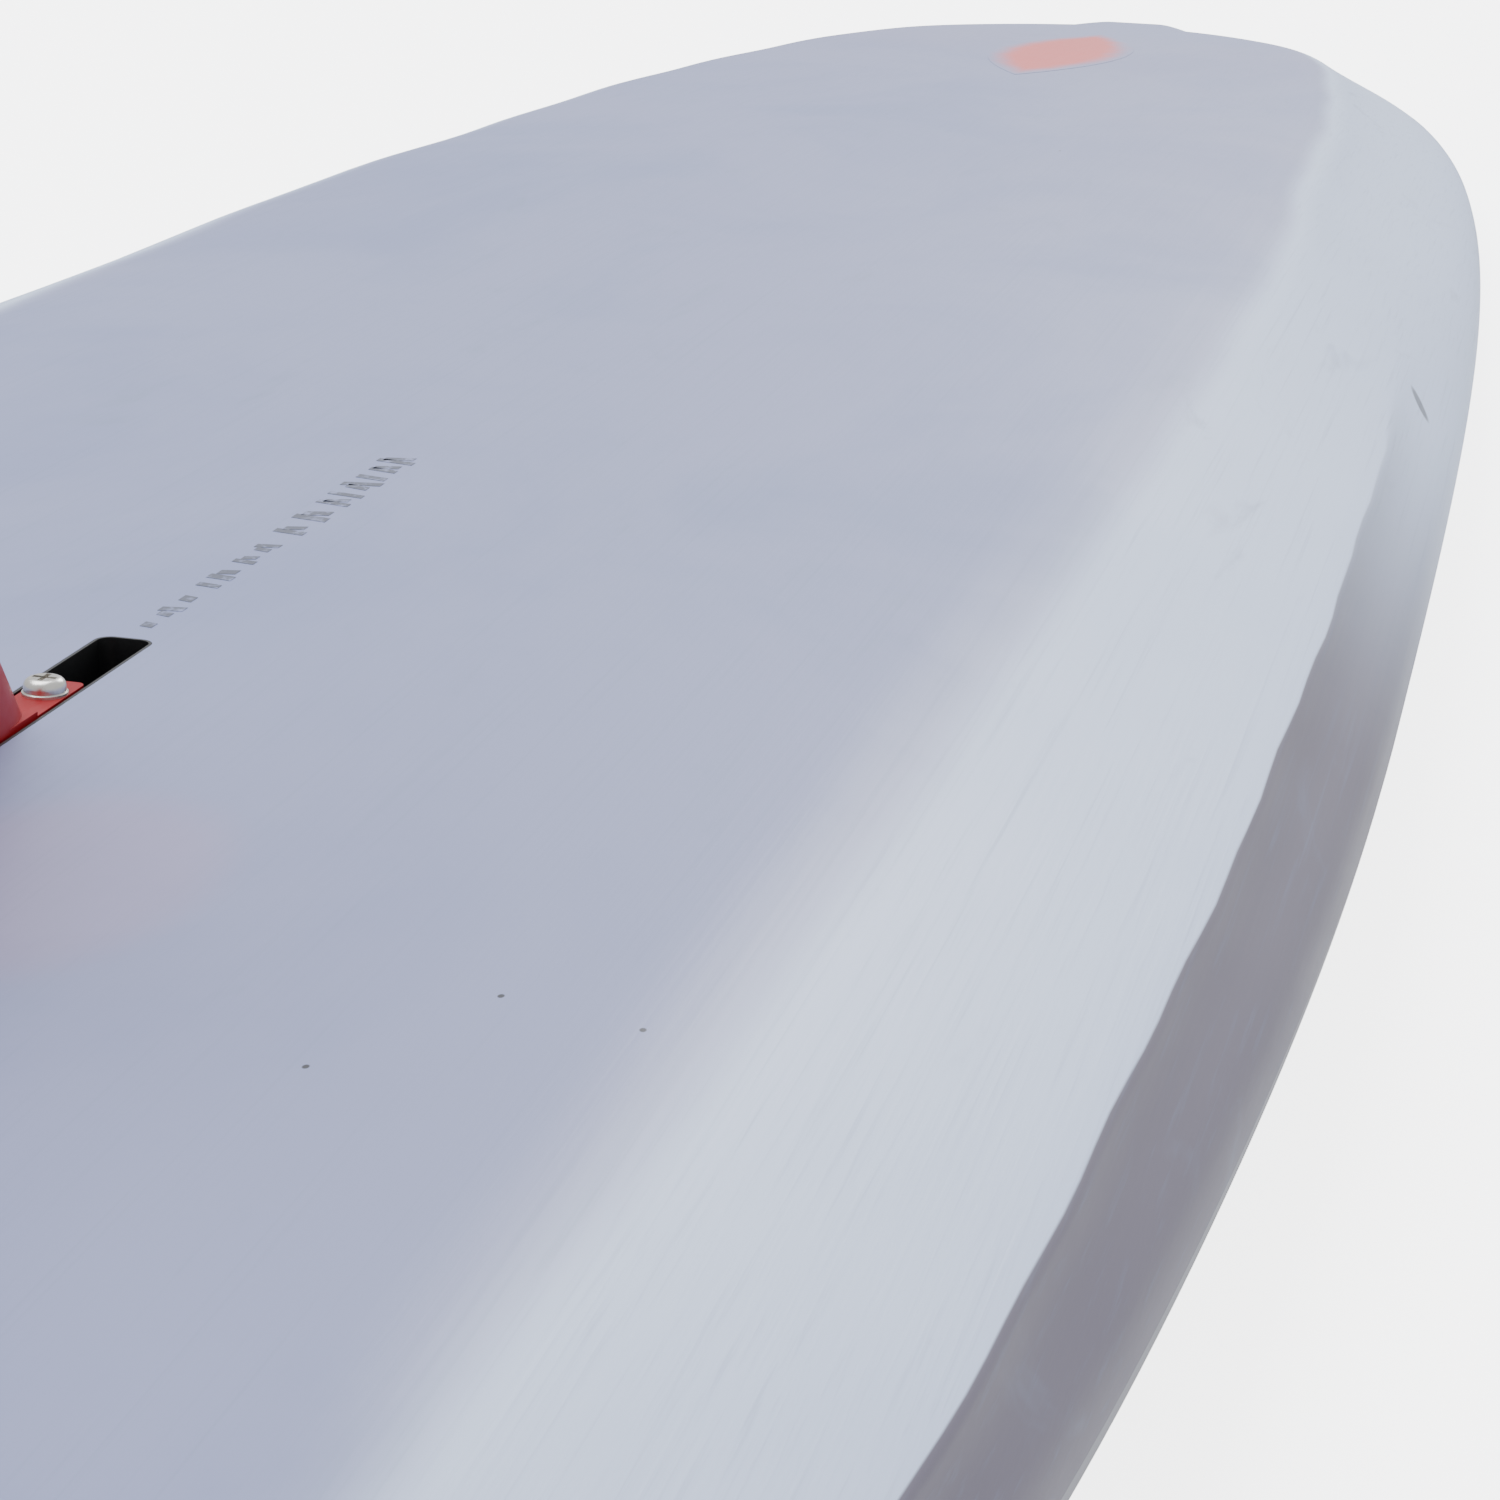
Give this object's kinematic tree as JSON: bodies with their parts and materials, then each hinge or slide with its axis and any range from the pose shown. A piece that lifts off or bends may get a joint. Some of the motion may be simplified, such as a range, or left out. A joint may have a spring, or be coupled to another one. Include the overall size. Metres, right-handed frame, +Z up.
{
  "type": "surfboard with one bolt-in fin",
  "caption": "Single-fin surfboard lying bottom-up on its deck, with a sliding bolt-in fin, leash plug, vent and grip pads.",
  "frame": {"origin": "middle of the bounding box in plan, at the undersides of the grip pads that it lies on", "axes": "+X from tail to nose, +Y across, +Z up out of the planing bottom"},
  "size_m": [1.792, 0.451, 0.253],
  "materials": {
    "core_foam": "beaded foam",
    "dense_foam": "closed-cell foam",
    "stringer_wood": "raw basswood",
    "bottom_finish": "satin sanded",
    "deck_finish": "satin sanded",
    "emblem_red": "satin",
    "mark_grey": "satin",
    "box_plastic": "moulded",
    "cup_plastic": "moulded",
    "fin_red": "gloss",
    "pin_brass": "turned",
    "steel": "passivated",
    "seal_rubber": "matte",
    "pad_foam": "grooved foam"
  },
  "bodies": {
    "board": {"core_left": "core_foam", "core_right": "core_foam", "stringer": "stringer_wood", "bottom_skin": "bottom_finish", "deck_skin": "deck_finish", "nose_emblem": "emblem_red", "size_marks": "mark_grey", "fin_box": "box_plastic", "fin_box_block": "dense_foam", "leash_cup": "cup_plastic", "leash_bar": "steel", "vent_body": "cup_plastic", "tail_pad_left": "pad_foam", "tail_pad_centre": "pad_foam", "tail_pad_right": "pad_foam", "tail_pad_kick": "pad_foam", "front_pad_left": "pad_foam", "front_pad_centre": "pad_foam", "front_pad_right": "pad_foam"},
    "fin": {"fin_blade": "fin_red", "fin_cross_pin": "pin_brass", "fin_plate": "steel"},
    "washer": {"fin_washer": "steel"},
    "screw": {"fin_screw": "steel"},
    "vent_seal": {"vent_o_ring": "seal_rubber"},
    "vent_plug": {"vent_screw": "steel"}
  },
  "joints": [
    {"name": "fin_slide", "type": "slide", "parent": "board", "child": "fin", "axis": [1, 0, 0], "range_m": [-0.06, 0.023]},
    {"name": "screw_lift", "type": "slide", "parent": "fin", "child": "washer", "axis": [0, 0, 1], "range_m": [0, 0.0035]},
    {"name": "screw_turn", "type": "hinge", "parent": "washer", "child": "screw", "pos_m": [-0.503, 0, 0.075], "axis": [0, 0, 1], "range_deg": [0, 1801]},
    {"name": "vent_lift", "type": "slide", "parent": "board", "child": "vent_seal", "axis": [0, 0, -1], "range_m": [0, 0.003]},
    {"name": "vent_turn", "type": "hinge", "parent": "vent_seal", "child": "vent_plug", "pos_m": [0.33, 0, 0.01], "axis": [0, 0, -1], "range_deg": [0, 1081]}
  ],
  "couplings": [
    {"joint": "screw_turn", "follows": "screw_lift", "rad_per_m": 8976},
    {"joint": "vent_turn", "follows": "vent_lift", "rad_per_m": 6283.2}
  ]
}
